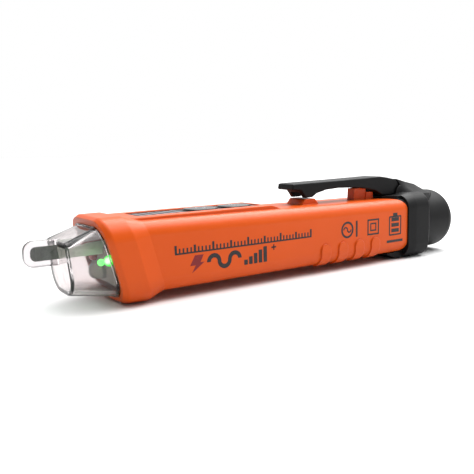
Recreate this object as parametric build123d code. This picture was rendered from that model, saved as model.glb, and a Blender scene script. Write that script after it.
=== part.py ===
"""Non-contact voltage tester: a moulded pen with a clear probe nose, a panel with two buttons and a light
bar, two AAA cells side by side and a pull-off tail cap that carries a pocket clip.

Frame: +X runs from the probe tip to the tail, +Z is the panel side, the rest plane is Z = 0 and the origin
is the middle of the bounding box on that plane. Millimetres. Stations along the pen are counted from the
probe tip.
"""
import os
from math import cos, radians, sin, sqrt, tan

from build123d import *

# ---- driving sizes -------------------------------------------------------------------------------
LENGTH = 158.0          # probe tip to tail
BODY_HEIGHT = 18.75     # handle, belly to top
LIFT = 2.35             # belly of the handle above the rest plane
HEAD_RISE = 0.95        # how much the top of the handle climbs from tail to head
CELL_DIAMETER = 10.5    # AAA cell
CELL_LENGTH = 44.5
SIDE_WALL = 1.0         # shell beside the cells
SHELL_WALL = 1.3        # shell over and under the board
FIT = 0.1               # gap of a sliding or pressed fit, each side
HEAD_FLARE = 1.05       # head beyond the handle, each side
HEAD_LIP = 1.7          # thickness of the head's rim
RAKE = 15.1             # degrees the head leans
CAP_LENGTH = 28.4       # tail cap behind the handle
CAP_PROUD = 0.85        # tail cap beyond the handle, each side
CLIP_REACH = 45.4       # clip tip ahead of the end of the handle
CLIP_WIDTH = 8.0
CLIP_GAP = 4.45         # clip arm above the tail end of the handle
ARM = 1.85              # thickness of the clip arm at its tip
BLADE_WIDTH = 6.9
BLADE_THICK = 2.1
STRIP_ROUND = 1.3
LENS_WALL = 1.3
PANEL_WIDTH = 10.0
PRESS = 0.5             # travel of a button
BAR_COUNT = 6           # segments of the light bar
GRIP_COUNT = 4          # grip ribs on each side
SUNK = 0.05             # what the cut at the rest plane takes off the head and the cap
CREASE = 1.2            # radius of the head's creases
CLIP_EDGE = 0.5         # radius of the clip's long edges
BOARD_THICK = 1.0

# ---- what follows from them ----------------------------------------------------------------------
MID = LIFT + BODY_HEIGHT / 2                       # height of the cells' axes and of the round tail
TOP = LIFT + BODY_HEIGHT                           # flat top of the handle at its tail end
CELL_Y = CELL_DIAMETER / 2 + 0.05
POCKET_R = CELL_DIAMETER / 2 + 0.2
POCKET_W = 2 * (CELL_Y + POCKET_R)
BODY_W = POCKET_W + 2 * SIDE_WALL
HEAD_W = BODY_W + 2 * HEAD_FLARE
HEAD_TOP = TOP + HEAD_RISE + 1.55
CAP_W = BODY_W + 2 * CAP_PROUD
JOINT = LENGTH - CAP_LENGTH                        # end of the handle
CELL_END = JOINT - 1.2
CELL_START = CELL_END - CELL_LENGTH
CONTACT_DEPTH = 2.0                                # room for a contact at each end of a cell
BULKHEAD = 1.2
CAVITY_END = CELL_START - CONTACT_DEPTH - BULKHEAD
SPIGOT = 6.0                                       # tube of the handle inside the cap
SPIGOT_WALL = 0.8
RIM = 22.6                                         # where the rim plane meets the rest plane
HEAD_BACK = RIM + 7.3
WAIST = RIM + 12.3
SKIRT_END = RIM + 6.6
PAD_TOP = TOP + HEAD_RISE + 0.85
PANEL_FLOOR = PAD_TOP - 0.65
PANEL_START = WAIST - 5.3
PANEL_END = CAVITY_END - 9.7
PANEL_L = PANEL_END - PANEL_START
BUTTON_L = 0.25 * PANEL_L
BUTTON_W = PANEL_WIDTH - 2.6
POWER_X = PANEL_START + 0.546 * PANEL_L
MODE_X = PANEL_START + 0.834 * PANEL_L
BAR_X = PANEL_START + 0.045 * PANEL_L
BAR_PITCH = 0.0585 * PANEL_L
BAR_L = 0.58 * BAR_PITCH
WALL_UNDER = TOP + 0.4 - SHELL_WALL                # underside of the wall below the panel
BOARD_Z = MID + 2.9
BOARD_TOP = BOARD_Z + BOARD_THICK
BOARD_W = BODY_W - 4.5
BOARD_START = RIM + 0.4
FLANGE = 0.8                                       # flange that keeps a button in
LED_Y = BODY_W * 0.24
BLADE_Z = MID + 3.3                                # axis of the blade and the sensor strip
NOSE_TOP = BLADE_Z + 2.85
PIVOT_X, PIVOT_Z, PIVOT_R = JOINT + 1.2, TOP + 3.9, 2.9
CLIP_TIP = JOINT - CLIP_REACH
CLIP_UNDER = TOP + CLIP_GAP
SLOT = CLIP_WIDTH / 2 - 1.7                        # half width of the notch in the clip's hook


# ---- helpers -------------------------------------------------------------------------------------
STANDING = (Align.CENTER, Align.CENTER, Align.MIN)


def section(width, bottom, top, r_top, r_bottom):
    """Face across the pen: local x is across, local y is up."""
    h, k = width / 2, 1 - sqrt(0.5)
    rb, rt = r_bottom, r_top
    return make_face([
        Line((-h + rb, bottom), (h - rb, bottom)),
        ThreePointArc((h - rb, bottom), (h - k * rb, bottom + k * rb), (h, bottom + rb)),
        Line((h, bottom + rb), (h, top - rt)),
        ThreePointArc((h, top - rt), (h - k * rt, top - k * rt), (h - rt, top)),
        Line((h - rt, top), (-h + rt, top)),
        ThreePointArc((-h + rt, top), (-h + k * rt, top - k * rt), (-h, top - rt)),
        Line((-h, top - rt), (-h, bottom + rb)),
        ThreePointArc((-h, bottom + rb), (-h + k * rb, bottom + k * rb), (-h + rb, bottom)),
    ])


def across(station, lean=0.0):
    """Plane across the pen, met by the rest plane at a station; a lean carries its top to the tip."""
    a = radians(lean)
    return Plane(origin=(station, 0, 0), x_dir=(0, 1, 0), z_dir=(cos(a), 0, sin(a)))


def leaning(station, lean, width, bottom, top, r_top, r_bottom):
    c = cos(radians(lean))
    return across(station, lean) * section(width, bottom / c, top / c, r_top, r_bottom)


def run(face, start, end):
    """A face drawn across the pen, run along it between two stations."""
    return extrude(across(start) * face, amount=end - start, dir=(1, 0, 0))


def block(x0, x1, half_y, z0, z1, y=0.0):
    return Pos((x0 + x1) / 2, y, (z0 + z1) / 2) * Box(x1 - x0, 2 * half_y, z1 - z0)


def slab(points, half_y, y=0.0, radius=0.0):
    """Side outline in X and Z, given a thickness across the pen."""
    if radius:
        line = FilletPolyline(*points, radius=radius, close=True)
    else:
        line = Polyline(*points, close=True)
    return Pos(0, y, 0) * extrude(Plane.XZ * make_face(line), amount=half_y, both=True)


def plan(points, z0, z1):
    return Pos(0, 0, z0) * extrude(make_face(Polyline(*points, close=True)), amount=z1 - z0)


def stadium(radius, half_pitch):
    """Outline around two cells side by side, with more or less room."""
    return Pos(0, MID) * SlotCenterToCenter(2 * half_pitch, 2 * radius)


def rod(x0, x1, radius, y, z):
    return Pos(x0, y, z) * Rot(0, 90, 0) * Cylinder(radius, x1 - x0, align=STANDING)


def ahead_of(station, lean):
    """Everything on the tip side of a leaning plane."""
    return extrude(across(station, lean) * Rectangle(120, 120), amount=-80)


def oblong(x, length, width, z0, z1):
    shape = Pos(x, 0) * RectangleRounded(length, width, width * 0.42)
    return Pos(0, 0, z0) * extrude(shape, amount=z1 - z0)


def shift(shape):
    return shape.moved(Location((-LENGTH / 2, 0, 0)))


# ---- opening of the head, shared by the shell and the nose ---------------------------------------
OPEN_W = HEAD_W - 2 * HEAD_LIP
OPEN_LOW, OPEN_HIGH = 1.75, HEAD_TOP - 2.25


def opening(inset):
    return section(OPEN_W - 2 * inset, OPEN_LOW + inset, OPEN_HIGH - inset, 5.8 - inset, 6.2 - inset)


# ---- body shell ----------------------------------------------------------------------------------
def top_at(station):
    return TOP + HEAD_RISE * (JOINT - station) / (JOINT - WAIST)


def handle_run(start, end, grow=0.0):
    """The handle between two stations, its top climbing towards the head."""
    return loft([
        across(x) * section(BODY_W + 2 * grow, LIFT - grow, top_at(x) + grow, 3.8 + grow, 4.2 + grow)
        for x in (start, end)
    ], ruled=True)


def handle_end(grow=0.0):
    """The end of the handle seen from the side: a square end with round corners."""
    r = 3.5 + grow
    x1, z0, z1 = JOINT + grow, LIFT - grow, TOP + grow
    k = r * (1 - sqrt(0.5))
    face = make_face([
        Line((0, z0), (x1 - r, z0)), ThreePointArc((x1 - r, z0), (x1 - k, z0 + k), (x1, z0 + r)),
        Line((x1, z0 + r), (x1, z1 - r)), ThreePointArc((x1, z1 - r), (x1 - k, z1 - k), (x1 - r, z1)),
        Line((x1 - r, z1), (x1 - r - 1, z1 + 0.3)), Line((x1 - r - 1, z1 + 0.3), (0, z1 + 9)),
        Line((0, z1 + 9), (0, z0)),
    ])
    return extrude(Plane.XZ * face, amount=BODY_W, both=True)


def edges_on(shape, plane):
    """Edges that lie in a plane."""
    def lies(edge):
        return all(abs((edge.position_at(t) - plane.origin).dot(plane.z_dir)) < 1e-3 for t in (0, 0.5, 1))
    return [edge for edge in shape.edges() if lies(edge)]


def make_head():
    """Flared head with soft creases, cut flat where it rests."""
    head = loft([
        leaning(RIM, RAKE, HEAD_W - 1.5, 0.75, HEAD_TOP - 0.7, 6.2, 6.8),
        leaning(RIM + 1.4, RAKE, HEAD_W, -SUNK, HEAD_TOP, 6.6, 7.0),
        leaning(HEAD_BACK, RAKE, HEAD_W, -SUNK, HEAD_TOP, 6.4, 6.6),
        leaning(WAIST + 0.5, RAKE, BODY_W - 0.3, LIFT + 0.15, top_at(WAIST - 6) - 0.15, 3.7, 4.1),
    ], ruled=True)
    creases = edges_on(head, across(RIM + 1.4, RAKE)) + edges_on(head, across(HEAD_BACK, RAKE))
    head = fillet(creases, CREASE)
    return head - block(0, WAIST, HEAD_W, -3, 0)


def make_body_shell():
    head = make_head()
    handle = handle_run(RIM + 2.5, JOINT + 1) & handle_end()
    pad = slab([
        (RIM + 2.5, TOP - 2), (RIM + 2.5, PAD_TOP), (PANEL_END + 1.4, PAD_TOP),
        (PANEL_END + 5.6, top_at(80) - 0.1), (PANEL_END + 5.6, TOP - 2),
    ], 8.0)
    pad = fillet(pad.edges().filter_by(Axis.X), 0.35)
    body = head + handle + pad

    # wedge that holds the clip's hook, and the rib that guides the clip
    t, seat = CLIP_TIP, top_at(CLIP_TIP + 7)
    wedge = slab([
        (t + 3.9, TOP - 1), (t + 3.9, seat + 0.1), (t + 5.3, seat + 1.85), (t + 9.2, seat + 1.85),
        (t + 10.8, seat + 0.1), (t + 10.8, TOP - 1),
    ], CLIP_WIDTH / 2)
    wedge = fillet(wedge.edges().filter_by(Axis.Y).group_by(Axis.Z)[-1], 0.6)
    rib = slab([
        (JOINT - 16.3, TOP - 1), (JOINT - 15.9, CLIP_UNDER - 0.3), (JOINT - 10.4, CLIP_UNDER - 0.3),
        (JOINT - 10.0, TOP - 1),
    ], SLOT - 0.7)
    stop = slab([
        (JOINT - 10.6, TOP - 1), (JOINT - 10.4, TOP + 2.7), (JOINT - 7.2, TOP + 2.5),
        (JOINT - 6.9, TOP - 1),
    ], SLOT - 0.3)
    spigot = run(stadium(POCKET_R + SPIGOT_WALL, CELL_Y), JOINT - 2, JOINT + SPIGOT)
    body = body + wedge + rib + stop + spigot

    # grip ribs, raised from the sides and run round the lower corners
    skin = handle_run(JOINT - 44, JOINT - 10, 0.5)
    for side in (-1, 1):
        for i in range(GRIP_COUNT):
            shape = Pos(JOINT - 38.5 + i * 7.45, LIFT + 1.7) * SlotCenterToCenter(6.6, 3.9, rotation=90)
            rib = Pos(0, side * BODY_W / 2, 0) * extrude(Plane.XZ * shape, amount=4.0, both=True)
            body += rib & skin

    # hollows: nose socket, board bay, cells
    body -= run(opening(0), 5, SKIRT_END + FIT)
    bay = section(BODY_W - 2.6, LIFT + SHELL_WALL, WALL_UNDER, 2.2, 2.6)
    body -= run(bay, SKIRT_END - 1, CAVITY_END)
    body -= run(stadium(POCKET_R, CELL_Y), CELL_START - CONTACT_DEPTH, JOINT + SPIGOT + 1)
    # rails that hold the board
    for side in (-1, 1):
        for z0 in (BOARD_Z - FIT - 0.9, BOARD_TOP + FIT):
            body += block(SKIRT_END + 0.6, CAVITY_END, 0.95, z0, z0 + 0.9, side * (BOARD_W / 2 + 0.45))
    # slots for the contacts' tabs
    for side in (-1, 1):
        body -= block(CAVITY_END - 1, CELL_START - CONTACT_DEPTH + 0.5, 1.7,
                      BOARD_TOP, BOARD_TOP + 0.35, side * CELL_Y)
    # catches for the nose
    for side in (-1, 1):
        body -= block(SKIRT_END - 3.6, SKIRT_END - 1.2, 0.7, MID - 3.1, MID + 3.1,
                      side * (OPEN_W / 2 + 0.05))
    # panel recess, holes for the buttons and the light bar
    body -= Pos(0, 0, PANEL_FLOOR) * extrude(
        Pos((PANEL_START + PANEL_END) / 2, 0) * RectangleRounded(PANEL_L, PANEL_WIDTH, 1.6), amount=5)
    for x in (POWER_X, MODE_X):
        body -= oblong(x, BUTTON_L + 0.3, BUTTON_W + 0.3, WALL_UNDER - 1, PAD_TOP)
    for i in range(BAR_COUNT):
        x = BAR_X + i * BAR_PITCH
        body -= block(x, x + BAR_L, 3.2, WALL_UNDER - 1, PAD_TOP)
    return body


# ---- nose ----------------------------------------------------------------------------------------
def make_nose():
    front, front_lean = 10.1, 5.8

    def cone(inset, back, step):
        return loft([
            leaning(back, RAKE, OPEN_W - 0.7 - 2 * inset, OPEN_LOW + 0.35 + inset, OPEN_HIGH - 0.35 - inset,
                    5.7 - inset, 6.1 - inset),
            leaning(front + step, front_lean, OPEN_W - 6.8 - 2 * inset, 3.6 + inset, NOSE_TOP - inset,
                    max(1.4 - inset, 0.4), 5.4 - inset),
        ], ruled=True)

    skirt = run(opening(FIT), 8, SKIRT_END) - ahead_of(RIM - 0.35, RAKE)
    blade = slab([
        (0, BLADE_Z - BLADE_WIDTH / 2), (0, BLADE_Z + BLADE_WIDTH / 2),
        (12, BLADE_Z + BLADE_WIDTH / 2), (12, BLADE_Z - BLADE_WIDTH / 2),
    ], BLADE_THICK / 2)
    blade = fillet(blade.edges().filter_by(Axis.Y).group_by(Axis.X)[0], 2.6)
    blade = fillet(blade.edges().group_by(Axis.X)[0], 0.5)
    lens = cone(0, RIM - 0.2, 0)
    lens = fillet(edges_on(lens, across(front, front_lean)), 0.6)
    nose = lens + blade + skirt
    for side in (-1, 1):
        nose += block(SKIRT_END - 3.5, SKIRT_END - 1.3, 0.5, MID - 3, MID + 3, side * OPEN_W / 2)
    nose -= cone(LENS_WALL, RIM + 0.2, LENS_WALL)
    nose -= run(opening(FIT + 1.2), 8, SKIRT_END + 1) - ahead_of(RIM - 0.1, RAKE)
    return nose - make_sensor_strip()


def make_sensor_strip():
    """Sensor foil, from inside the blade to the board."""
    strip = block(1.8, BOARD_START + 2.2, 0.25, BLADE_Z - 1.85, BLADE_Z + 1.85)
    return fillet(strip.edges().filter_by(Axis.Y).group_by(Axis.X)[0], STRIP_ROUND)


# ---- panel ---------------------------------------------------------------------------------------
def make_panel_label():
    label = Pos(0, 0, PANEL_FLOOR) * extrude(
        Pos((PANEL_START + PANEL_END) / 2, 0) * RectangleRounded(PANEL_L - 0.3, PANEL_WIDTH - 0.3, 1.45),
        amount=0.35)
    for x in (POWER_X, MODE_X):
        label -= oblong(x, BUTTON_L + 0.3, BUTTON_W + 0.3, PANEL_FLOOR - 1, PAD_TOP)
    for i in range(BAR_COUNT):
        x = BAR_X + i * BAR_PITCH
        label -= block(x, x + BAR_L, 3.2, PANEL_FLOOR - 1, PAD_TOP)
    return label


def make_light_guide():
    x1 = BAR_X + (BAR_COUNT - 1) * BAR_PITCH + BAR_L
    guide = block(BAR_X - 0.5, x1 + 0.5, 4.0, WALL_UNDER - 0.8, WALL_UNDER)
    for i in range(BAR_COUNT):
        x = BAR_X + i * BAR_PITCH
        guide += block(x + 0.05, x + BAR_L - 0.05, 3.15, WALL_UNDER - 0.4, PANEL_FLOOR + 0.42)
    for side in (-1, 1):                           # feet that stand on the board
        guide += block(BAR_X + 0.4, x1 - 0.4, 0.4, BOARD_TOP, WALL_UNDER - 0.4, side * 3.6)
    return guide


def make_button(x):
    cap = oblong(x, BUTTON_L, BUTTON_W, WALL_UNDER - 0.4, PAD_TOP + 0.25)
    cap = fillet(cap.faces().sort_by(Axis.Z)[-1].edges(), 0.5)
    return cap + oblong(x, BUTTON_L + 1.2, BUTTON_W + 1.2, WALL_UNDER - FLANGE, WALL_UNDER)


def make_plunger(x):
    top = WALL_UNDER - FLANGE
    return Pos(x, 0, top - 1.9) * Cylinder(1.6, 1.9, align=STANDING)


def make_switch(x):
    top = WALL_UNDER - FLANGE - PRESS - 0.35
    case = block(x - 3, x + 3, 3, BOARD_TOP, top)
    case = chamfer(case.edges().filter_by(Axis.Z), 0.5)
    bore = Pos(x, 0, top - 1.75) * Cylinder(1.9, 4, align=STANDING)
    return case - bore


# ---- board and what sits on it -------------------------------------------------------------------
def make_board():
    board = block(BOARD_START, CAVITY_END - 0.3, BOARD_W / 2, BOARD_Z, BOARD_TOP)
    board = chamfer(board.edges().filter_by(Axis.Z).group_by(Axis.X)[0], 1.5)
    return board - block(BOARD_START - 1, BOARD_START + 2.4, 0.3, BOARD_Z - 1, BOARD_TOP + 1)


def make_level_leds():
    leds = []
    for i in range(BAR_COUNT):
        x = BAR_X + i * BAR_PITCH + BAR_L / 2
        leds.append(block(x - 0.5, x + 0.5, 1.0, BOARD_TOP, BOARD_TOP + 0.7))
    return Compound(children=leds)


LEDS = {                                            # across, height and radius
    "torch": (0.0, MID - 2.9, 2.5),
    "green": (-LED_Y, MID + 0.3, 1.5),
    "red": (LED_Y, MID + 0.3, 1.5),
}
LED_BACK = BOARD_START + 1.8


def make_led(which):
    y, z, r = LEDS[which]
    tip = LED_BACK - 2.2 * r - 2.4
    body = rod(tip, LED_BACK + 0.1, r, y, z)
    body = fillet(body.edges().group_by(Axis.X)[0], r * 0.9)
    return body + rod(LED_BACK, LED_BACK + 0.9, r + 0.4, y, z)


def make_led_holder():
    holder = block(LED_BACK - 4.0, LED_BACK, LED_Y + 2.6, MID - 6.2, BOARD_Z)
    holder = fillet(holder.edges().filter_by(Axis.X), 1.2)
    holder -= block(0, 60, 0.35, BLADE_Z - 2.0, BOARD_TOP)
    for y, z, r in LEDS.values():
        holder -= rod(0, 60, r, y, z)
    return holder


def make_led_pins():
    pins = []
    for y, z, r in LEDS.values():
        for dy in (-0.8, 0.8):
            x = LED_BACK + 0.9
            pin = block(x, x + 1.9, 0.2, z - 0.2, z + 0.2, y + dy)
            pins.append(pin + block(x + 1.5, x + 1.9, 0.2, z - 0.2, BOARD_Z, y + dy))
    return Compound(children=pins)


def make_chip(x, y, length, width, height, legs, on_top):
    """Small outline chip with gull legs, on either face of the board."""
    z0, s = (BOARD_TOP, 1) if on_top else (BOARD_Z, -1)

    def layer(x0, x1, half, a, b, yy):
        lo, hi = sorted((z0 + s * a, z0 + s * b))
        return block(x0, x1, half, lo, hi, yy)

    chip = layer(x - length / 2, x + length / 2, width / 2, 0.15, height, y)
    pitch = length / legs
    for i in range(legs):
        lx = x - length / 2 + (i + 0.5) * pitch
        for side in (-1, 1):
            chip += layer(lx - 0.2, lx + 0.2, 0.55, 0.0, 0.2, y + side * (width / 2 + 0.5))
            chip += layer(lx - 0.2, lx + 0.2, 0.2, 0.0, height * 0.55, y + side * (width / 2 + 0.15))
    return chip


BOARD_L = CAVITY_END - BOARD_START


def along_board(share):
    return BOARD_START + share * BOARD_L


def make_resistors():
    upper = [(0.20, -5.5), (0.20, 5.5), (0.62, -6.8), (0.62, 6.8), (0.94, -2.2), (0.94, 2.2)]
    lower = [(0.66, -6.5), (0.66, 6.5), (0.90, -6.5), (0.90, 6.5)]
    parts = []
    for spots, z in ((upper, BOARD_TOP), (lower, BOARD_Z - 0.5)):
        for share, y in spots:
            x = along_board(share)
            parts.append(block(x - 0.8, x + 0.8, 0.4, z, z + 0.5, y))
    return Compound(children=parts)


def make_capacitors():
    parts = [block(along_board(s) - 0.6, along_board(s) + 0.6, 0.6, BOARD_Z - 0.9, BOARD_Z, y)
             for s, y in ((0.22, -6.0), (0.22, 6.0), (0.66, 0.0))]
    return Compound(children=parts)


def make_buzzer():
    x = along_board(0.80)
    can = Pos(x, 0, BOARD_Z - 3.6) * Cylinder(4.4, 3.6, align=STANDING)
    can = fillet(can.edges().group_by(Axis.Z)[0], 0.5)
    return can - Pos(x, 0, BOARD_Z - 4) * Cylinder(0.9, 1.2, align=STANDING)


# ---- cells and contacts --------------------------------------------------------------------------
def make_cell(y, nub_ahead):
    r, nub = CELL_DIAMETER / 2, 0.8
    x0 = CELL_START + (nub if nub_ahead else 0)
    can = rod(x0, x0 + CELL_LENGTH - nub, r, y, MID)
    can = fillet(can.edges().filter_by(GeomType.CIRCLE), 0.4)
    start = CELL_START if nub_ahead else CELL_END - nub
    return can + rod(start, start + nub, 1.9, y, MID)


def dimple(x_base, x_tip, y):
    """Raised dimple of a contact that meets the nub of a cell."""
    depth = abs(x_tip - x_base)
    profile = make_face(Polyline((0, 0), (2.4, 0), (1.2, depth), (0, depth), close=True))
    cone = revolve(Plane.XZ * profile, Axis.Z)
    turn = 90 if x_tip > x_base else -90
    return Pos(x_base, y, MID) * Rot(0, turn, 0) * cone


def coil(x0, x1, y):
    """Contact spring between a plate and the flat end of a cell."""
    wire = 0.2
    path = Helix(pitch=(x1 - x0 - 2 * wire) / 3, height=x1 - x0 - 2 * wire, radius=2.5,
                 center=(x0 + wire, y, MID), direction=(1, 0, 0))
    ring = Plane(origin=path @ 0, z_dir=path % 0) * Circle(wire)
    return sweep(ring, path=path, is_frenet=True)


def make_front_contact(y):
    """Plate against the bulkhead with a tab that lies on the board."""
    x = CELL_START - CONTACT_DEPTH
    plate = block(x, x + 0.3, 3.3, MID - 3.6, BOARD_TOP + 0.3, y)
    return plate + block(CAVITY_END - 2.6, x + 0.2, 1.6, BOARD_TOP, BOARD_TOP + 0.3, y)


def make_contact_plate():
    return make_front_contact(-CELL_Y) + dimple(CELL_START - CONTACT_DEPTH + 0.3, CELL_START, -CELL_Y)


def make_contact_spring():
    x = CELL_START - CONTACT_DEPTH
    return make_front_contact(CELL_Y) + coil(x + 0.28, CELL_START, CELL_Y)


def make_bridge_plate():
    x = CELL_END + CONTACT_DEPTH
    plate = block(x - 0.3, x, CELL_Y + 3.6, MID - 3.6, MID + 3.6)
    plate = fillet(plate.edges().filter_by(Axis.X), 1.0)
    return plate + dimple(x - 0.3, CELL_END, CELL_Y)


def make_bridge_spring():
    x = CELL_END + CONTACT_DEPTH - 0.3
    return coil(CELL_END, x, -CELL_Y)


# ---- tail cap and clip ---------------------------------------------------------------------------
def make_tail_cap():
    low, high = -SUNK, TOP + 1.8
    start = JOINT + FIT
    square = loft([
        across(start) * section(BODY_W + 1.1, 0.35, TOP + 1.1, 4.6, 4.6),
        across(start + 3.8) * section(CAP_W, low, high, 5.0, 5.0),
        across(start + 10.4) * section(CAP_W, low, high, 5.2, 5.2),
        across(start + 12.4) * section(CAP_W - 2.4, low + 1.3, high - 1.2, 8.6, 8.6),
    ], ruled=True)
    dome_r = min(BODY_HEIGHT / 2 + 1.55, CAP_W / 2 - 1.2)
    dome = rod(start + 10, LENGTH, dome_r, 0, MID)
    dome = fillet(dome.edges().group_by(Axis.X)[-1], 4.4)
    cap = square + dome

    # front edge: fills the round corners of the handle's end, runs on under the belly and over the top
    cap += run(section(BODY_W, LIFT, TOP, 3.8, 4.2), JOINT - 4.2, start + 0.6)
    tongue = slab([
        (JOINT - 7.4, LIFT - FIT), (JOINT - 7.4, LIFT - 0.5), (JOINT - 2.6, -SUNK),
        (start + 4.5, -SUNK), (start + 4.5, LIFT + 0.5), (JOINT - 4.0, LIFT + 0.5),
        (JOINT - 4.0, LIFT - FIT),
    ], BODY_W / 2 - 2.5)
    cap += tongue
    over = plan([
        (JOINT - 4.6, -3.9), (JOINT - 1.8, -BODY_W / 2 + 3.4), (start + 3, -BODY_W / 2 + 3.0),
        (start + 3, BODY_W / 2 - 3.0), (JOINT - 1.8, BODY_W / 2 - 3.4), (JOINT - 4.6, 3.9),
    ], TOP - 0.5, TOP + 1.1)
    cap += over
    ridge = [
        (PIVOT_X, 4.0, 4.4, PIVOT_Z + PIVOT_R), (JOINT + 3.2, 3.9, 5.4, TOP + 6.6),
        (JOINT + 7.9, 3.6, 8.2, TOP + 5.4), (JOINT + 13.4, 3.0, 8.4, TOP + 4.3),
        (JOINT + 16.6, 2.8, 7.6, TOP + 3.0), (JOINT + 19.6, 2.6, 6.0, TOP + 0.9),
    ]
    hump = loft([
        across(x) * make_face(Polyline(
            (-b, TOP + 1), (-b, TOP - 3), (b, TOP - 3), (b, TOP + 1), (t, z), (-t, z), close=True))
        for x, t, b, z in ridge
    ], ruled=True)
    cap += hump

    cap -= block(JOINT - 10, LENGTH, CAP_W, -3, 0)      # cut flat where it rests

    # the handle's end
    cap -= handle_run(60, JOINT + 10, FIT) & handle_end(FIT)
    # seat of the clip's root
    seat = rod(0, CLIP_WIDTH + 1.2, PIVOT_R + 0.15, 0, 0)
    seat = Pos(PIVOT_X, -CLIP_WIDTH / 2 - 0.6, PIVOT_Z) * Rot(0, 0, 90) * seat
    cap -= seat
    cap -= block(JOINT - 12, PIVOT_X, CLIP_WIDTH / 2 + 0.6, PIVOT_Z - PIVOT_R - 0.15, 60)

    # socket for the spigot, hollow post that carries the bridge plate, hollow tail
    socket_end = JOINT + SPIGOT + 0.2
    cap -= run(stadium(POCKET_R + SPIGOT_WALL + FIT, CELL_Y), JOINT - 20, socket_end)
    cap += run(stadium(POCKET_R - 0.3, CELL_Y), CELL_END + CONTACT_DEPTH, socket_end + 0.2)
    cap -= run(stadium(POCKET_R - 1.9, CELL_Y), 0, socket_end + 1.4)
    cap -= rod(socket_end + 1.4, LENGTH - 2.6, dome_r - 1.9, 0, MID)
    return cap


def make_clip():
    w, t = CLIP_WIDTH / 2, CLIP_TIP
    crest, seat = TOP + 7.95, top_at(CLIP_TIP + 7)
    arm = slab([
        (t, CLIP_UNDER + 1.3), (t + 0.3, CLIP_UNDER + 1.1 + ARM - 0.2), (t + 1.2, CLIP_UNDER + 1.1 + ARM),
        (t + 20, CLIP_UNDER + ARM + 1.3), (JOINT - 10.5, crest - 0.1), (JOINT - 5.4, crest),
        (JOINT - 1.6, crest - 0.55), (PIVOT_X, PIVOT_Z + PIVOT_R), (PIVOT_X, PIVOT_Z - PIVOT_R),
        (JOINT - 1.2, PIVOT_Z - PIVOT_R), (JOINT - 4.4, TOP + 1.2), (JOINT - 6.2, TOP + 2.2),
        (JOINT - 7.6, TOP + 3.0), (JOINT - 11.6, TOP + 3.9), (JOINT - 15.4, CLIP_UNDER),
        (JOINT - 20, CLIP_UNDER + 0.35), (t + 20, CLIP_UNDER + 0.55), (t + 14.6, CLIP_UNDER + 0.25),
        (t + 10.4, seat + 3.4), (t + 8.4, seat + 2.25), (t + 5.5, seat + 2.2),
        (t + 3.6, CLIP_UNDER + 0.7), (t + 0.3, CLIP_UNDER + 0.95),
    ], w)
    arm -= block(t - 1, JOINT - 6.6, SLOT, TOP, CLIP_UNDER)
    root = Pos(PIVOT_X, -w, PIVOT_Z) * Rot(0, 0, 90) * rod(0, 2 * w, PIVOT_R, 0, 0)
    clip = arm + root
    sides = [
        edge for edge in clip.edges()
        if abs(abs(edge.center().Y) - w) < 1e-3 and abs(edge.tangent_at(0.5).Y) < 0.5
    ]
    return fillet(sides, CLIP_EDGE)


PARTS = {
    "body_shell": make_body_shell,
    "tip_nose": make_nose,
    "sensor_strip": make_sensor_strip,
    "panel_label": make_panel_label,
    "level_light_guide": make_light_guide,
    "power_button": lambda: make_button(POWER_X),
    "mode_button": lambda: make_button(MODE_X),
    "power_plunger": lambda: make_plunger(POWER_X),
    "mode_plunger": lambda: make_plunger(MODE_X),
    "power_switch": lambda: make_switch(POWER_X),
    "mode_switch": lambda: make_switch(MODE_X),
    "main_board": make_board,
    "level_leds": make_level_leds,
    "torch_led": lambda: make_led("torch"),
    "green_led": lambda: make_led("green"),
    "red_led": lambda: make_led("red"),
    "led_holder": make_led_holder,
    "led_pins": make_led_pins,
    "controller_chip": lambda: make_chip(along_board(0.44), 0, 8.0, 5.2, 1.7, 7, False),
    "amplifier_chip": lambda: make_chip(BAR_X - 2.6, 0, 3.6, 3.2, 1.3, 4, True),
    "board_resistors": make_resistors,
    "board_capacitors": make_capacitors,
    "buzzer": make_buzzer,
    "cell_near": lambda: make_cell(-CELL_Y, True),
    "cell_far": lambda: make_cell(CELL_Y, False),
    "contact_plate": make_contact_plate,
    "contact_spring": make_contact_spring,
    "bridge_plate": make_bridge_plate,
    "bridge_spring": make_bridge_spring,
    "tail_cap": make_tail_cap,
    "pocket_clip": make_clip,
}

os.makedirs("parts", exist_ok=True)
for name, make in PARTS.items():
    export_step(shift(make()), f"parts/{name}.step")
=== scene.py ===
"""Looks of the non-contact voltage tester: plastics, metals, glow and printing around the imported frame.

Metres. +X runs from the probe tip to the tail and +Z is the panel side, as in the frame.
"""
from math import pi, radians

import bpy
from mathutils import Matrix, Vector


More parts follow.
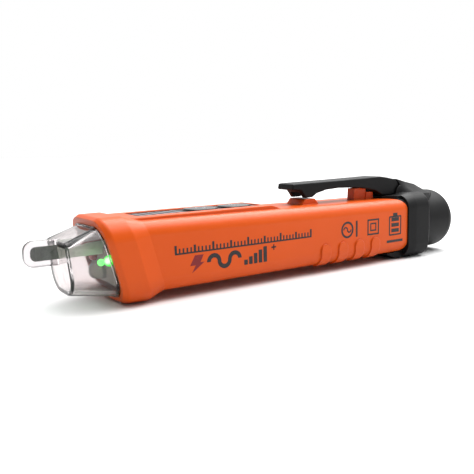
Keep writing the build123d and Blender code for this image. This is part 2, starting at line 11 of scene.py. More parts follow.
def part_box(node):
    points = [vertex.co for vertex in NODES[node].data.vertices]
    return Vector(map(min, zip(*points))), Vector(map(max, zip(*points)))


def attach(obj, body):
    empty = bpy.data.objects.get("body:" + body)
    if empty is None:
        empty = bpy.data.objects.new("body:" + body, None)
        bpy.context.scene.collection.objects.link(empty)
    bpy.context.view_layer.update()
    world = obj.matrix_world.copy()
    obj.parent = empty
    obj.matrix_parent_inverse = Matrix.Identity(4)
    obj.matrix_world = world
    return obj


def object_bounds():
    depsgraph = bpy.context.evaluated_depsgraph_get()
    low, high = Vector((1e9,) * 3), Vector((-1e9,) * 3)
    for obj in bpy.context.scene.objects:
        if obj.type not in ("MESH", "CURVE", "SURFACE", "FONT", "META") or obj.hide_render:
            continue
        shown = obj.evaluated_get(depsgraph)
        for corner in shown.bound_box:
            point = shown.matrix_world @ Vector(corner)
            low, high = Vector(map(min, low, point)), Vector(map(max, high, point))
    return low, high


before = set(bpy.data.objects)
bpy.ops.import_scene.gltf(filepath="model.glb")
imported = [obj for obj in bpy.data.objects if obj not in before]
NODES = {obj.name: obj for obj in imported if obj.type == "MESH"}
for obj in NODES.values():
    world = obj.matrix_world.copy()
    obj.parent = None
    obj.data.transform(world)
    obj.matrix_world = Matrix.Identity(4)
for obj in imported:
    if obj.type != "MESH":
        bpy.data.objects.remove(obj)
CAD_LOW, CAD_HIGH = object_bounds()

MM = 0.001
INK = 0.03 * MM                 # thickness of printed ink
WELD = 0.005 * MM               # points nearer than this become one
PLAIN = "_plain"                # ending for the frame's own materials

# ---- places taken from the frame ----
LABEL_LOW, LABEL_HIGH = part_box("panel_label")
POWER_LOW, POWER_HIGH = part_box("power_button")
MODE_LOW, MODE_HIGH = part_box("mode_button")
BARS_LOW, BARS_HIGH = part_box("level_leds")
GREEN_LOW, GREEN_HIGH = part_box("green_led")
GREEN_MIDDLE = (GREEN_LOW + GREEN_HIGH) / 2
GREEN_HEART = Vector((GREEN_LOW.x + 0.6 * MM, GREEN_MIDDLE.y - 0.9 * MM, GREEN_MIDDLE.z + 0.2 * MM))
CELL_LOW, CELL_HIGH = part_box("cell_near")
TIP_X = CAD_LOW.x
SIDE_Y = -11.75 * MM            # flat near side of the handle
BLADE_OUT = 8.5 * MM            # solid blade ahead of the hollow nose
BAR_COUNT = 6
BAR_HALF = 0.5                  # half the width of a light bar, in millimetres

AIR = 0.22                      # light from all round
FLOOR_RADIUS = 3.0
FLOOR_GAP = 0.2 * MM            # floor below the rest plane
CAMERA_AT = (-0.12035, -0.15719, 0.04115)
CEILING = 3.6                   # light from above


# ---- nodes ----
def add(tree, kind, inputs=None, **settings):
    """A shader node with its settings and its inputs, each a number, a colour or another node's output."""
    made = tree.nodes.new("ShaderNode" + kind)
    for name, value in settings.items():
        setattr(made, name, value)
    for name, value in (inputs or {}).items():
        if isinstance(value, bpy.types.NodeSocket):
            tree.links.new(value, made.inputs[name])
        else:
            made.inputs[name].default_value = value
    return made


def sums(tree, operation, a, b, clamp=False):
    return add(tree, "Math", {0: a, 1: b}, operation=operation, use_clamp=clamp).outputs[0]


def reach(tree, value, low, high, out_low, out_high):
    """A value stretched from one span onto another, and held at its ends."""
    spans = {"Value": value, "From Min": low, "From Max": high, "To Min": out_low, "To Max": out_high}
    return add(tree, "MapRange", spans).outputs["Result"]


def tint(tree, share, a, b):
    """Colour a going over to colour b."""
    mixed = add(tree, "Mix", {0: share, 6: a, 7: b}, data_type="RGBA")
    return mixed.outputs[2]


def spots(tree, where, size_mm, detail=2.0, rough=0.5):
    """Cloudy noise with blotches of about a size."""
    noise = {"Vector": where, "Scale": 1.0 / (size_mm * MM), "Detail": detail, "Roughness": rough}
    return add(tree, "TexNoise", noise).outputs["Fac"]


def place(tree):
    return add(tree, "TexCoord").outputs["Object"]


def group(name, inputs, outputs):
    """An empty shader node group; inputs are name, kind and value, outputs are name and kind."""
    tree = bpy.data.node_groups.new(name, "ShaderNodeTree")
    for label, kind, value in inputs:
        socket = tree.interface.new_socket(name=label, in_out="INPUT", socket_type="NodeSocket" + kind)
        socket.default_value = value
    for label, kind in outputs:
        tree.interface.new_socket(name=label, in_out="OUTPUT", socket_type="NodeSocket" + kind)
    taken = tree.nodes.new("NodeGroupInput").outputs
    given = tree.nodes.new("NodeGroupOutput").inputs
    return tree, taken, given


def use(tree, shared, inputs):
    made = tree.nodes.new("ShaderNodeGroup")
    made.node_tree = shared
    for name, value in inputs.items():
        if isinstance(value, bpy.types.NodeSocket):
            tree.links.new(value, made.inputs[name])
        else:
            made.inputs[name].default_value = value
    return made.outputs


# ---- effects that several finishes share ----
def spark_grain():
    """Spark-eroded grain of a mould: fine pits, and gloss that wanders a little."""
    tree, taken, given = group(
        "Spark Grain", [("Grain Size", "Float", 0.35), ("Gloss Change", "Float", 0.05)],
        [("Height", "Float"), ("Gloss", "Float")])
    where = place(tree)
    scale = sums(tree, "DIVIDE", 1.0 / MM, taken["Grain Size"])
    cells = add(tree, "TexVoronoi", {"Vector": where, "Scale": scale}, feature="SMOOTH_F1")
    pits = cells.outputs["Distance"]
    swell = spots(tree, where, 1.4)
    height = sums(tree, "ADD", sums(tree, "MULTIPLY", pits, 0.7), sums(tree, "MULTIPLY", swell, 0.3))
    tree.links.new(height, given["Height"])
    wander = sums(tree, "SUBTRACT", spots(tree, where, 9.0, 4.0), 0.5)
    tree.links.new(sums(tree, "MULTIPLY", wander, taken["Gloss Change"]), given["Gloss"])
    return tree


def handling_wear():
    """Edges and high spots rubbed by pockets and fingers."""
    tree, taken, given = group(
        "Handling Wear",
        [("Color", "Color", (0.5, 0.5, 0.5, 1)), ("Worn Color", "Color", (0.8, 0.8, 0.8, 1)),
         ("Amount", "Float", 0.4), ("Edge", "Float", 0.5)],
        [("Color", "Color"), ("Worn", "Float")])
    edge = sums(tree, "MULTIPLY", taken["Edge"], MM)
    soft = add(tree, "Bevel", {"Radius": edge}, samples=4).outputs["Normal"]
    hard = add(tree, "NewGeometry").outputs["Normal"]
    facing = add(tree, "VectorMath", {0: soft, 1: hard}, operation="DOT_PRODUCT").outputs["Value"]
    corner = reach(tree, facing, 0.985, 0.90, 0.0, 1.0)
    patchy = reach(tree, spots(tree, place(tree), 2.5, 5.0, 0.65), 0.42, 0.62, 0.0, 1.0)
    worn = sums(tree, "MULTIPLY", sums(tree, "MULTIPLY", corner, patchy), taken["Amount"], clamp=True)
    tree.links.new(worn, given["Worn"])
    tree.links.new(tint(tree, worn, taken["Color"], taken["Worn Color"]), given["Color"])
    return tree


def settled_dust():
    """Fine dust on what faces up, thicker in patches."""
    tree, taken, given = group(
        "Settled Dust",
        [("Color", "Color", (0.5, 0.5, 0.5, 1)), ("Dust Color", "Color", (0.55, 0.52, 0.48, 1)),
         ("Amount", "Float", 0.1)],
        [("Color", "Color"), ("Dust", "Float")])
    up = add(tree, "SeparateXYZ", {0: add(tree, "NewGeometry").outputs["Normal"]}).outputs["Z"]
    level = reach(tree, up, 0.2, 1.0, 0.1, 1.0)
    patchy = reach(tree, spots(tree, place(tree), 5.0, 6.0, 0.7), 0.35, 0.75, 0.0, 1.0)
    dust = sums(tree, "MULTIPLY", sums(tree, "MULTIPLY", level, patchy), taken["Amount"], clamp=True)
    tree.links.new(dust, given["Dust"])
    tree.links.new(tint(tree, dust, taken["Color"], taken["Dust Color"]), given["Color"])
    return tree


def fine_scratches():
    """Hairline scratches that run mostly along the pen."""
    tree, taken, given = group(
        "Fine Scratches", [("Spacing", "Float", 0.4), ("Stretch", "Float", 12.0)], [("Mask", "Float")])
    squeeze = sums(tree, "DIVIDE", 1.0, taken["Stretch"])
    squeeze = add(tree, "CombineXYZ", {0: squeeze, 1: 1.0, 2: 1.0}).outputs[0]
    where = add(tree, "VectorMath", {0: place(tree), 1: squeeze}, operation="MULTIPLY").outputs[0]
    scale = sums(tree, "DIVIDE", 1.0 / MM, taken["Spacing"])
    lines = add(tree, "TexNoise", {"Vector": where, "Scale": scale, "Detail": 3.0}).outputs["Fac"]
    tree.links.new(reach(tree, lines, 0.60, 0.72, 0.0, 1.0), given["Mask"])
    return tree


GRAIN, WEAR, DUST, SCRATCHES = spark_grain(), handling_wear(), settled_dust(), fine_scratches()


# ---- finishes ----
def new_finish(name):
    """A material of a slot's name; the plain one that came with the frame gets out of the way."""
    plain = bpy.data.materials.get(name)
    if plain:
        plain.name = name + PLAIN
    finish = bpy.data.materials.new(name)
    finish.use_nodes = True
    tree = finish.node_tree
    return finish, tree, tree.nodes["Principled BSDF"]


def connect(tree, shader, **sockets):
    """Varying values go in by a link, constants straight onto the shader's own socket."""
    for name, value in sockets.items():
        socket = shader.inputs[name.replace("_", " ")]
        if isinstance(value, bpy.types.NodeSocket):
            tree.links.new(value, socket)
        else:
            socket.default_value = value


def bump(tree, height, depth_mm, strength=0.5, round_mm=0.0):
    """Relief of a depth, with the corners of the piece softened over a radius."""
    inputs = {"Height": height, "Distance": depth_mm * MM, "Strength": strength}
    if round_mm:
        inputs["Normal"] = add(tree, "Bevel", {"Radius": round_mm * MM}, samples=6).outputs["Normal"]
    return add(tree, "Bump", inputs).outputs["Normal"]


def moulded_plastic(name, color, deep, worn, roughness, grain_mm=0.35, depth_mm=0.012, wear=0.35, dust=0.06,
                    round_mm=0.3, shine=0.5):
    """Satin plastic out of a spark-eroded mould."""
    finish, tree, shader = new_finish(name)
    tone = tint(tree, spots(tree, place(tree), 22.0, 3.0), color, deep)
    grain = use(tree, GRAIN, {"Grain Size": grain_mm, "Gloss Change": 0.12})
    rubbed = use(tree, WEAR, {"Color": tone, "Worn Color": worn, "Amount": wear, "Edge": 0.45})
    dusty = use(tree, DUST, {"Color": rubbed["Color"], "Amount": dust})
    gloss = sums(tree, "ADD", roughness, grain["Gloss"])
    gloss = sums(tree, "ADD", gloss, sums(tree, "MULTIPLY", dusty["Dust"], 0.6))
    gloss = sums(tree, "SUBTRACT", gloss, sums(tree, "MULTIPLY", rubbed["Worn"], 0.12), clamp=True)
    connect(tree, shader, Base_Color=dusty["Color"], Roughness=gloss, Specular_IOR_Level=shine,
            Normal=bump(tree, grain["Height"], depth_mm, 0.6, round_mm))
    return finish


def orange_plastic():
    return moulded_plastic("orange_plastic", (0.60, 0.078, 0.003, 1), (0.54, 0.066, 0.002, 1),
                           (0.80, 0.17, 0.06, 1), 0.34, dust=0.01, shine=0.20)


def black_plastic():
    return moulded_plastic("black_plastic", (0.0045, 0.0045, 0.0048, 1), (0.0065, 0.0065, 0.0070, 1),
                           (0.04, 0.04, 0.04, 1), 0.42, grain_mm=0.45, depth_mm=0.02, wear=0.3, dust=0.008,
                           shine=0.10)


def button_black():
    """Glossy button tops with hairline scratches."""
    finish, tree, shader = new_finish("button_black")
    tone = tint(tree, spots(tree, place(tree), 6.0), (0.006, 0.006, 0.007, 1), (0.011, 0.011, 0.012, 1))
    bare = (0.04, 0.04, 0.045, 1)
    rubbed = use(tree, WEAR, {"Color": tone, "Worn Color": bare, "Amount": 0.4, "Edge": 0.3})
    hair = use(tree, SCRATCHES, {"Spacing": 0.25, "Stretch": 10.0})["Mask"]
    gloss = sums(tree, "ADD", sums(tree, "MULTIPLY", hair, 0.10), 0.22)
    connect(tree, shader, Base_Color=rubbed["Color"], Roughness=gloss, Specular_IOR_Level=0.25,
            Coat_Weight=0.05, Coat_Roughness=0.15,
            Normal=bump(tree, hair, 0.004, 0.3, 0.2))
    return finish


def switch_black():
    return moulded_plastic("switch_black", (0.012, 0.012, 0.013, 1), (0.018, 0.018, 0.02, 1),
                           (0.05, 0.05, 0.055, 1), 0.5, grain_mm=0.2, depth_mm=0.006, wear=0.2)


def holder_white():
    # The white holder is given a dim brown-grey: painted shadow of the dark cavity inside the clear nose,
    # not the holder's own white
    return moulded_plastic("holder_white", (0.24, 0.19, 0.15, 1), (0.15, 0.12, 0.09, 1),
                           (0.5, 0.5, 0.47, 1), 0.45, grain_mm=0.3, depth_mm=0.008, wear=0.2)


def clear_plastic():
    """Clear lens: bends light like acrylic, a little flow haze, and lets lamps shine through it."""
    finish, tree, shader = new_finish("clear_plastic")
    where = place(tree)
    hair = use(tree, SCRATCHES, {"Spacing": 0.5, "Stretch": 7.0})["Mask"]
    haze = reach(tree, spots(tree, where, 3.0, 4.0), 0.35, 0.75, 0.02, 0.10)
    gloss = sums(tree, "ADD", haze, sums(tree, "MULTIPLY", hair, 0.05))
    flow = spots(tree, where, 4.5, 1.0)
    tone = tint(tree, spots(tree, where, 7.0), (0.78, 0.74, 0.75, 1), (0.70, 0.66, 0.65, 1))
    along = add(tree, "SeparateXYZ", {0: where}).outputs["X"]
    solid = reach(tree, along, TIP_X + BLADE_OUT - 0.5 * MM, TIP_X + BLADE_OUT + 0.5 * MM, 1.0, 0.0)
    tone = tint(tree, solid, tone, (0.60, 0.57, 0.58, 1))
    connect(tree, shader, Base_Color=tone, Roughness=gloss, Metallic=0.0, Transmission_Weight=1.0, IOR=1.45,
            Normal=bump(tree, flow, 0.25, 0.25))
    open_air = add(tree, "BsdfTransparent", {"Color": (0.93, 0.95, 0.94, 1)})
    lamp = add(tree, "LightPath").outputs["Is Shadow Ray"]
    both = add(tree, "MixShader", {0: lamp, 1: shader.outputs[0], 2: open_air.outputs[0]})
    tree.links.new(both.outputs[0], tree.nodes["Material Output"].inputs["Surface"])
    return finish


def led_body(name, color, deep, clear=0.0, glow=None, strength=0.0):
    """Epoxy of a lamp; a lit one glows, palest where its chip shows."""
    finish, tree, shader = new_finish(name)
    where = place(tree)
    tone = tint(tree, spots(tree, where, 1.2), color, deep)
    gloss = reach(tree, spots(tree, where, 0.6), 0.3, 0.7, 0.06, 0.16)
    connect(tree, shader, Base_Color=tone, Roughness=gloss, IOR=1.53, Metallic=0.0,
            Transmission_Weight=clear)
    if glow:
        heart = add(tree, "VectorMath", {0: where, 1: GREEN_HEART}, operation="DISTANCE")
        heart = heart.outputs["Value"]
        warm = tint(tree, reach(tree, heart, 0.5 * MM, 1.2 * MM, 1.0, 0.0), glow, (0.6, 1.0, 0.6, 1))
        connect(tree, shader, Emission_Color=warm, Emission_Strength=strength)
    return finish


def led_green():
    return led_body("led_green", (0.06, 0.55, 0.09, 1), (0.04, 0.45, 0.07, 1), clear=0.2,
                    glow=(0.015, 0.60, 0.02, 1), strength=2.0)


def led_red():
    return led_body("led_red", (0.55, 0.02, 0.02, 1), (0.4, 0.012, 0.015, 1), clear=0.4)


def led_clear():
    return led_body("led_clear", (0.88, 0.90, 0.84, 1), (0.80, 0.82, 0.74, 1), clear=0.9)


def led_white():
    return led_body("led_white", (0.75, 0.74, 0.62, 1), (0.62, 0.6, 0.42, 1))


def frosted_guide():
    """Milky light guide behind the panel, its tone varying in soft blotches."""
    finish, tree, shader = new_finish("frosted_guide")
    where = place(tree)
    tone = tint(tree, spots(tree, where, 2.0, 3.0), (0.15, 0.165, 0.185, 1), (0.09, 0.10, 0.115, 1))
    grain = use(tree, GRAIN, {"Grain Size": 0.15, "Gloss Change": 0.1})
    gloss = sums(tree, "ADD", 0.38, grain["Gloss"], clamp=True)
    connect(tree, shader, Base_Color=tone, Roughness=gloss, IOR=1.49, Specular_IOR_Level=0.2,
            Normal=bump(tree, grain["Height"], 0.006, 0.5, 0.12))
    return finish


def label_film():
    """Dark hard-coated film with a thin printed line inside its edge."""
    finish, tree, shader = new_finish("label_film")
    where = place(tree)
    centre = (LABEL_LOW + LABEL_HIGH) / 2
    half = (LABEL_HIGH - LABEL_LOW) / 2
    at = add(tree, "Mapping", {"Vector": where, "Location": tuple(-centre)}).outputs[0]
    apart = add(tree, "SeparateXYZ", {0: at}).outputs
    in_x = sums(tree, "SUBTRACT", half.x, sums(tree, "ABSOLUTE", apart["X"], 0.0))
    in_y = sums(tree, "SUBTRACT", half.y, sums(tree, "ABSOLUTE", apart["Y"], 0.0))
    inset = sums(tree, "MINIMUM", in_x, in_y)
    off_line = sums(tree, "ABSOLUTE", sums(tree, "SUBTRACT", inset, 0.55 * MM), 0.0)
    line = reach(tree, off_line, 0.05 * MM, 0.09 * MM, 1.0, 0.0)
    tone = tint(tree, spots(tree, where, 5.0), (0.016, 0.017, 0.019, 1), (0.024, 0.025, 0.028, 1))
    printed = tint(tree, line, tone, (0.30, 0.30, 0.31, 1))
    grain = use(tree, GRAIN, {"Grain Size": 0.12, "Gloss Change": 0.08})
    dusty = use(tree, DUST, {"Color": printed, "Amount": 0.08})
    gloss = sums(tree, "ADD", sums(tree, "ADD", 0.42, grain["Gloss"]), dusty["Dust"], clamp=True)
    connect(tree, shader, Base_Color=dusty["Color"], Roughness=gloss, Specular_IOR_Level=0.12,
            Normal=bump(tree, grain["Height"], 0.005, 0.5, 0.1))
    return finish


def bright_metal(name, color, deep, roughness, metal=1.0):
    """Plated metal with drawn lines along it and a few dull spots."""
    finish, tree, shader = new_finish(name)
    where = place(tree)
    drawn = use(tree, SCRATCHES, {"Spacing": 0.12, "Stretch": 20.0})["Mask"]
    dull = reach(tree, spots(tree, where, 1.6, 4.0), 0.45, 0.75, 0.0, 1.0)
    tone = tint(tree, dull, color, deep)
    gloss = sums(tree, "ADD", sums(tree, "MULTIPLY", drawn, 0.12), sums(tree, "MULTIPLY", dull, 0.15))
    gloss = sums(tree, "ADD", gloss, roughness, clamp=True)
    connect(tree, shader, Base_Color=tone, Roughness=gloss, Metallic=metal,
            Normal=bump(tree, drawn, 0.004, 0.4))
    return finish


def nickel():
    return bright_metal("nickel", (0.62, 0.59, 0.54, 1), (0.42, 0.39, 0.34, 1), 0.18)


def tinned_steel():
    return bright_metal("tinned_steel", (0.66, 0.68, 0.64, 1), (0.48, 0.50, 0.46, 1), 0.45, 0.35)


def board_green():
    """Solder mask over copper runs, with bare plated dots."""
    finish, tree, shader = new_finish("board_green")
    where = place(tree)
    grid = {"Vector": where, "Scale": 420.0, "Mortar Size": 0.035, "Mortar Smooth": 0.3, "Brick Width": 0.9,
            "Row Height": 0.45, "Color1": (0, 0, 0, 1), "Color2": (0, 0, 0, 1), "Mortar": (1, 1, 1, 1)}
    runs = add(tree, "TexBrick", grid).outputs["Fac"]
    gap = spots(tree, where, 6.0)
    runs = sums(tree, "MULTIPLY", runs, reach(tree, gap, 0.45, 0.5, 0.0, 1.0))
    dots = add(tree, "TexVoronoi", {"Vector": where, "Scale": 330.0}).outputs["Distance"]
    dots = reach(tree, dots, 0.10, 0.13, 1.0, 0.0)
    mask = tint(tree, runs, (0.008, 0.10, 0.035, 1), (0.03, 0.22, 0.07, 1))
    tone = tint(tree, dots, mask, (0.62, 0.60, 0.55, 1))
    gloss = reach(tree, spots(tree, where, 3.0, 3.0), 0.3, 0.7, 0.26, 0.42)
    connect(tree, shader, Base_Color=tone, Roughness=gloss, Metallic=dots,
            Normal=bump(tree, runs, 0.03, 0.6, 0.1))
    return finish


def chip_black():
    return moulded_plastic("chip_black", (0.014, 0.014, 0.015, 1), (0.022, 0.022, 0.023, 1),
                           (0.06, 0.06, 0.06, 1), 0.55, grain_mm=0.1, depth_mm=0.006, wear=0.15,
                           round_mm=0.08)


def capacitor_tan():
    return moulded_plastic("capacitor_tan", (0.36, 0.23, 0.11, 1), (0.28, 0.17, 0.08, 1),
                           (0.5, 0.4, 0.3, 1), 0.4, grain_mm=0.15, depth_mm=0.006, wear=0.2, round_mm=0.1)


def cell_jacket():
    """Printed sleeve of a cell: bare can at both ends, a copper band, then dark green."""
    finish, tree, shader = new_finish("cell_jacket")
    where = place(tree)
    along = add(tree, "SeparateXYZ", {0: where}).outputs["X"]
    along = reach(tree, along, CELL_LOW.x, CELL_HIGH.x, 0.0, 1.0)
    ramp = add(tree, "ValToRGB", {0: along})
    ramp.color_ramp.interpolation = "CONSTANT"
    can, copper, green = (0.62, 0.6, 0.56, 1), (0.42, 0.17, 0.05, 1), (0.010, 0.035, 0.028, 1)
    bands = [(0.0, can), (0.035, copper), (0.24, can), (0.255, green), (0.965, can)]
    for i, (share, color) in enumerate(bands):
        stop = ramp.color_ramp.elements[0] if i == 0 else ramp.color_ramp.elements.new(share)
        stop.position, stop.color = share, color
    ramp.color_ramp.elements.remove(ramp.color_ramp.elements[-1])
    tone = tint(tree, reach(tree, spots(tree, where, 2.0, 4.0), 0.4, 0.8, 0.0, 0.25), ramp.outputs[0],
                (0.2, 0.2, 0.19, 1))
    hair = use(tree, SCRATCHES, {"Spacing": 0.3, "Stretch": 14.0})["Mask"]
    gloss = sums(tree, "ADD", 0.22, sums(tree, "MULTIPLY", hair, 0.15))
    connect(tree, shader, Base_Color=tone, Roughness=gloss, Metallic=0.55,
            Normal=bump(tree, hair, 0.004, 0.4))
    return finish


def ink(name, color, deep):
    """Pad-printed ink: dense, with a trace of speckle where it's thin."""
    finish, tree, shader = new_finish(name)
    where = place(tree)
    tone = tint(tree, reach(tree, spots(tree, where, 0.5, 4.0), 0.35, 0.75, 0.0, 1.0), color, deep)
    grain = use(tree, GRAIN, {"Grain Size": 0.3, "Gloss Change": 0.1})
    gloss = sums(tree, "ADD", 0.42, grain["Gloss"], clamp=True)
    connect(tree, shader, Base_Color=tone, Roughness=gloss, Specular_IOR_Level=0.3,
            Normal=bump(tree, grain["Height"], 0.006, 0.4))
    return finish


FINISHES = {
    made.name: made for made in (
        orange_plastic(), black_plastic(), button_black(), switch_black(), holder_white(), clear_plastic(),
        led_green(), led_red(), led_clear(), led_white(), frosted_guide(), label_film(), nickel(),
        tinned_steel(), board_green(), chip_black(), capacitor_tan(), cell_jacket(),
        ink("black_ink", (0.008, 0.008, 0.009, 1), (0.02, 0.014, 0.012, 1)),
        ink("red_ink", (0.15, 0.006, 0.008, 1), (0.19, 0.012, 0.01, 1)),
        ink("grey_ink", (0.42, 0.42, 0.43, 1), (0.34, 0.34, 0.35, 1)),
    )
}


def dress_nodes():
    """Each CAD node takes the finish of its material slot."""
    for part in NODES.values():
        for held in part.material_slots:
            held.material = FINISHES[held.material.name.removesuffix(PLAIN)]


# ---- printed marks: flat shapes drawn in millimetres, then put onto a surface and given thickness ----
def let_go():
    if bpy.context.object and bpy.context.object.mode != "OBJECT":
        bpy.ops.object.mode_set(mode="OBJECT")
    bpy.ops.object.select_all(action="DESELECT")


def pick(obj):
    let_go()
    obj.select_set(True)
    bpy.context.view_layer.objects.active = obj


def settle(obj):
    """Move the place and size of an object into its mesh."""
    pick(obj)
    bpy.ops.object.transform_apply(location=True, rotation=True, scale=True)
    return obj


def in_metres(*sizes):
    return [size * MM for size in sizes]


def plate(x0, x1, y0, y1, corner=0.0):
    """Flat plate from x0 to x1 and y0 to y1, its corners rounded."""
    x0, x1, y0, y1, corner = in_metres(x0, x1, y0, y1, corner)
    let_go()
    bpy.ops.mesh.primitive_plane_add(size=1, location=((x0 + x1) / 2, (y0 + y1) / 2, 0))
    made = bpy.context.object
    made.scale = (x1 - x0, y1 - y0, 1)
    settle(made)
    if corner:
        pick(made)
        bpy.ops.object.mode_set(mode="EDIT")
        bpy.ops.mesh.select_all(action="SELECT")
        bpy.ops.mesh.bevel(offset=corner, segments=4, affect="VERTICES")
        bpy.ops.object.mode_set(mode="OBJECT")
    return made


def choose(obj, wanted):
    """Edit mode with only the vertices that are wanted."""
    pick(obj)
    bpy.ops.object.mode_set(mode="EDIT")
    bpy.ops.mesh.select_mode(type="VERT")
    bpy.ops.mesh.select_all(action="DESELECT")
    bpy.ops.object.mode_set(mode="OBJECT")
    for vertex in obj.data.vertices:
        vertex.select = wanted(vertex)
    bpy.ops.object.mode_set(mode="EDIT")


def choose_faces(obj, wanted):
    """Edit mode with only the faces that are wanted."""
    pick(obj)
    bpy.ops.object.mode_set(mode="EDIT")
    bpy.ops.mesh.select_mode(type="FACE")
    bpy.ops.mesh.select_all(action="DESELECT")
    bpy.ops.object.mode_set(mode="OBJECT")
    for face in obj.data.polygons:
        face.select = wanted(face)
    bpy.ops.object.mode_set(mode="EDIT")


def frame_plate(x0, x1, y0, y1, line, corner=0.0):
    """Flat outline of a rectangle, with a line's width."""
    made = plate(x0, x1, y0, y1, corner)
    pick(made)
    bpy.ops.object.mode_set(mode="EDIT")
    bpy.ops.mesh.select_mode(type="FACE")
    bpy.ops.mesh.select_all(action="SELECT")
    bpy.ops.mesh.inset(thickness=line * MM)
    bpy.ops.mesh.delete(type="FACE")
    bpy.ops.object.mode_set(mode="OBJECT")
    return made


def arc(x, y, radius, line, start, sweep, steps=20):
    """Flat band bent round a centre: one edge spun about it. Degrees from +x, counterclockwise."""
    x, y, radius, line = in_metres(x, y, radius, line)
    let_go()
    bpy.ops.mesh.primitive_plane_add(size=1, location=(0, 0, 0))
    made = bpy.context.object
    choose(made, lambda v: v.co.y > 0)
    bpy.ops.mesh.delete(type="VERT")
    bpy.ops.mesh.select_all(action="SELECT")
    bpy.ops.object.mode_set(mode="OBJECT")
    made.scale = (line, 1, 1)
    made.location = (radius, 0.5, 0)
    settle(made)
    turn = Matrix.Rotation(radians(start), 4, "Z")
    made.matrix_world = Matrix.Translation((x, y, 0)) @ turn
    settle(made)
    pick(made)
    bpy.ops.object.mode_set(mode="EDIT")
    bpy.ops.mesh.select_all(action="SELECT")
    bpy.ops.mesh.spin(steps=steps, angle=-radians(sweep), center=(x, y, 0), axis=(0, 0, 1))
    bpy.ops.mesh.select_all(action="SELECT")
    bpy.ops.mesh.remove_doubles(threshold=WELD)
    bpy.ops.object.mode_set(mode="OBJECT")
    return made


def outline(corners):
    """Flat shape with the corners given: a round plate whose rim points are moved there, one by one."""
    let_go()
    bpy.ops.mesh.primitive_circle_add(vertices=len(corners), radius=MM, fill_type="NGON")
    made = bpy.context.object
    for i, (x, y) in enumerate(corners):
        here = made.data.vertices[i].co.copy()
        choose(made, lambda v, i=i: v.index == i)
        bpy.ops.transform.translate(value=Vector((x * MM, y * MM, 0)) - here)
        bpy.ops.object.mode_set(mode="OBJECT")
    return made


def dot(x, y, radius):
    x, y, radius = in_metres(x, y, radius)
    let_go()
    bpy.ops.mesh.primitive_circle_add(vertices=24, radius=radius, fill_type="NGON", location=(x, y, 0))
    return settle(bpy.context.object)


def printed(name, parts, onto, finish, body):
    """Flat parts joined into one print, put onto a surface and given the thickness of ink."""
    let_go()
    for part in parts:
        part.select_set(True)
    bpy.context.view_layer.objects.active = parts[0]
    bpy.ops.object.join()
    made = bpy.context.object
    made.name = made.data.name = name
    made.matrix_world = onto
    settle(made)
    outward = onto.to_3x3() @ Vector((0, 0, 1))
    choose_faces(made, lambda face: face.normal.dot(outward) < 0)
    bpy.ops.mesh.flip_normals()
    bpy.ops.object.mode_set(mode="OBJECT")
    pick(made)
    thick = made.modifiers.new("ink", "SOLIDIFY")
    thick.thickness, thick.offset = INK, 1.0
    bpy.ops.object.modifier_apply(modifier="ink")
    made.data.materials.clear()
    made.data.materials.append(FINISHES[finish])
    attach(made, body)
    return made


def side_print(name, parts, finish="black_ink"):
    """Onto the near side of the handle: x runs along the pen from the tip, y is up."""
    onto = Matrix.Translation((TIP_X, SIDE_Y, 0)) @ Matrix.Rotation(pi / 2, 4, "X")
    return printed(name, parts, onto, finish, "body")


def top_print(name, parts, z, body):
    """Onto a level face seen from the panel side: x runs along the pen from the tip."""
    return printed(name, parts, Matrix.Translation((TIP_X, 0, z)), "grey_ink", body)


def scale_print():
    """Measuring scale along the top of the side: a line with ticks standing on it."""
    start, length, steps = 37.1, 47.8, 40
    line_low, line_high, overhang = 12.2, 12.65, 0.3
    parts = [plate(start - overhang, start + length + overhang, line_low, line_high, 0.1)]
    for i in range(steps + 1):
        x = start + i * length / steps
        tall = 2.15 if i % 10 == 0 else 1.85 if i % 5 == 0 else 1.25
        half = 0.35 if i % 5 == 0 else 0.25
        parts.append(plate(x - half, x + half, line_high, line_high + tall))
    side_print("scale_print", parts)


def bolt_print():
    """Bolt, its corners from the top left round to the waist."""
    corners = [(43.0, 11.5), (45.8, 11.5), (44.7, 9.4), (46.0, 9.4), (41.9, 6.6), (43.2, 8.7), (41.4, 8.7)]
    side_print("bolt_print", [outline(corners)], "red_ink")


def wave_print():
    """A wave of half circles, up and down in turn."""
    start, middle, radius, line = 49.2, 9.05, 1.75, 1.25
    side_print("wave_print", [arc(start + 2 * radius * i, middle, radius, line, 180 * (i % 2), 180)
                              for i in range(3)])


def rising_bars_print():
    """Bars on one foot line, each taller than the last."""
    start, foot, pitch, wide = 59.4, 6.7, 1.75, 1.3
    parts = []
    for i in range(5):
        x = start + pitch * i
        parts.append(plate(x, x + wide, foot, foot + 1.5 + 0.8 * i, 0.2))
    side_print("rising_bars_print", parts)


def plus_print():
    x, y, reach_x, reach_y, half = 70.3, 10.775, 0.9, 0.875, 0.225
    side_print("plus_print", [plate(x - reach_x, x + reach_x, y - half, y + half),
                              plate(x - half, x + half, y - reach_y, y + reach_y)])


def ring_print():
    """A small wave in a ring, and an upright line beside it."""
    x, y, ripple = 100.6, 13.0, 0.8
    parts = [arc(x, y, 2.4, 0.7, 0, 360, 32),
             arc(x - ripple, y, ripple, 0.5, 0, 180, 12),
             arc(x + ripple, y, ripple, 0.5, 180, 180, 12),
             plate(x + 3.8, x + 4.6, y - 2.7, y + 2.7, 0.25)]
    side_print("ring_print", parts)


def squares_print():
    """One square inside another."""
    x, y = 112.55, 12.9
    parts = []
    for half_x, half_y, line in ((2.75, 2.7, 0.55), (1.45, 1.4, 0.5)):
        parts.append(frame_plate(x - half_x, x + half_x, y - half_y, y + half_y, line))
    side_print("squares_print", parts)


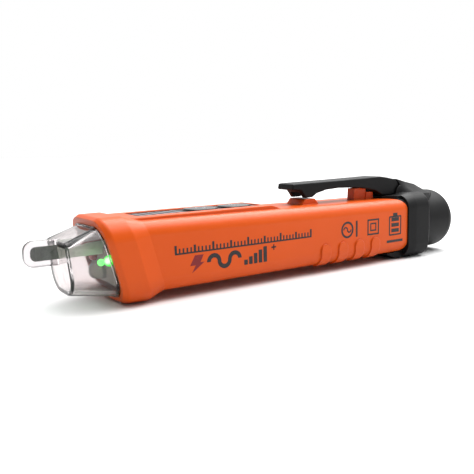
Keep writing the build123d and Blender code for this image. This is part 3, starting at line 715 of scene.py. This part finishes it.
def battery_print():
    """Battery with three charge bars, over a short thick line."""
    x, foot = 123.3, 9.0
    parts = [frame_plate(x - 3.1, x + 3.1, foot, foot + 6.8, 0.55, 0.5),
             plate(x - 1.1, x + 1.1, foot + 6.7, foot + 7.8, 0.2)]
    for i in range(3):
        low = foot + 1.1 + 1.9 * i
        parts.append(plate(x - 1.9, x + 1.9, low, low + 1.3))
    parts.append(plate(x - 4.1, x + 3.9, foot - 2.4, foot - 1.5))
    side_print("battery_print", parts)


def level_marks_print():
    """Small marks at both ends of each light bar, wider from bar to bar."""
    first, last = (BARS_LOW.x - TIP_X) / MM + BAR_HALF, (BARS_HIGH.x - TIP_X) / MM - BAR_HALF
    parts = []
    for i in range(BAR_COUNT):
        x = first + i * (last - first) / (BAR_COUNT - 1)
        half = 0.15 + 0.07 * i
        for y in (-3.75, 3.75):
            parts.append(plate(x - half, x + half, y - 0.22, y + 0.22))
    top_print("level_marks_print", parts, LABEL_HIGH.z, "body")


def power_symbol_print():
    x = ((POWER_LOW + POWER_HIGH) / 2 - CAD_LOW).x / MM
    parts = [arc(x, 0, 1.35, 0.34, 35, 290, 28), plate(x + 0.7, x + 2.0, -0.17, 0.17)]
    top_print("power_symbol_print", parts, POWER_HIGH.z, "power_key")


def range_symbol_print():
    """A dot with three arcs going out from it."""
    x = ((MODE_LOW + MODE_HIGH) / 2 - CAD_LOW).x / MM + 1.5
    parts = [dot(x, 0, 0.36)] + [arc(x, 0, radius, 0.3, 140, 80, 14) for radius in (1.1, 1.9, 2.7)]
    top_print("range_symbol_print", parts, MODE_HIGH.z, "mode_key")


# ---- studio ----
def stand(name, data, at, turned=(0, 0, 0)):
    """A lamp put in its place in the studio."""
    made = bpy.data.objects.new(name, data)
    bpy.context.scene.collection.objects.link(made)
    made.location, made.rotation_euler = at, turned


def floor():
    let_go()
    bpy.ops.mesh.primitive_circle_add(vertices=64, radius=FLOOR_RADIUS, fill_type="NGON",
                                      location=(0, 0, -FLOOR_GAP))
    made = bpy.context.object
    made.name = "studio_floor"
    paper, tree, shader = new_finish("pale_paper")
    tone = tint(tree, spots(tree, place(tree), 60.0), (0.77, 0.77, 0.77, 1), (0.75, 0.75, 0.75, 1))
    connect(tree, shader, Base_Color=tone, Roughness=0.9, Specular_IOR_Level=0.1)
    made.data.materials.append(paper)


def air():
    """Soft light from all round; it looks plain white where it is seen, mirrored or behind the lens."""
    world = bpy.data.worlds.new("studio_air")
    bpy.context.scene.world = world
    world.use_nodes = True
    tree = world.node_tree
    back = tree.nodes["Background"]
    path = add(tree, "LightPath").outputs
    seen = sums(tree, "MAXIMUM", path["Is Camera Ray"], path["Is Transmission Ray"])
    seen = sums(tree, "MAXIMUM", seen, path["Is Glossy Ray"])
    tree.links.new(reach(tree, seen, 0.0, 1.0, AIR, 1.0), back.inputs["Strength"])
    back.inputs["Color"].default_value = (1, 1, 1, 1)


def softbox(name, at, aim, width, height, power):
    lamp = bpy.data.lights.new(name, "AREA")
    lamp.shape, lamp.size, lamp.size_y, lamp.energy = "RECTANGLE", width, height, power
    stand(name, lamp, at, (Vector(aim) - Vector(at)).to_track_quat("-Z", "Y").to_euler())


def ceiling():
    """A wide white ceiling, tipped a little towards the tail."""
    sky = bpy.data.lights.new("studio_ceiling", "SUN")
    sky.energy, sky.angle = CEILING, radians(80)
    stand("studio_ceiling", sky, (0, 0, 0), (radians(1), radians(13), 0))


def green_glow():
    """What the lit lamp throws onto its surroundings, from just ahead of its dome."""
    glow = bpy.data.lights.new("green_glow", "POINT")
    glow.energy, glow.color, glow.shadow_soft_size = 0.00010, (0.10, 1.0, 0.13), 0.001
    stand("green_glow", glow, (GREEN_LOW.x - 1.2 * MM, GREEN_MIDDLE.y - 0.8 * MM, GREEN_MIDDLE.z))


def studio():
    floor()
    air()
    ceiling()
    softbox("overhead", (0.24, 0.06, 0.44), (0, 0, 0), 0.5, 0.4, 3.6)
    softbox("front_right", (0.34, -0.30, 0.26), (0, 0, 0.01), 0.25, 0.25, 0.22)
    green_glow()


def camera():
    """Low view of the near side, from ahead of the tip."""
    cam = bpy.data.objects.new("camera", bpy.data.cameras.new("camera"))
    bpy.context.scene.collection.objects.link(cam)
    cam.data.lens, cam.data.sensor_width = 47.09, 36.0
    cam.data.clip_start, cam.data.clip_end = 0.01, 20.0
    right, up, back = (0.8259, -0.5633, -0.0238), (0.1020, 0.1077, 0.9889), (-0.5545, -0.8192, 0.1464)
    turn = Matrix((right, up, back)).transposed().to_4x4()
    cam.matrix_world = Matrix.Translation(CAMERA_AT) @ turn
    bpy.context.scene.camera = cam


dress_nodes()
scale_print()
bolt_print()
wave_print()
rising_bars_print()
plus_print()
ring_print()
squares_print()
battery_print()
level_marks_print()
power_symbol_print()
range_symbol_print()
studio()
camera()
bpy.context.scene.view_settings.view_transform = "Standard"
bpy.context.scene.view_settings.look = "None"
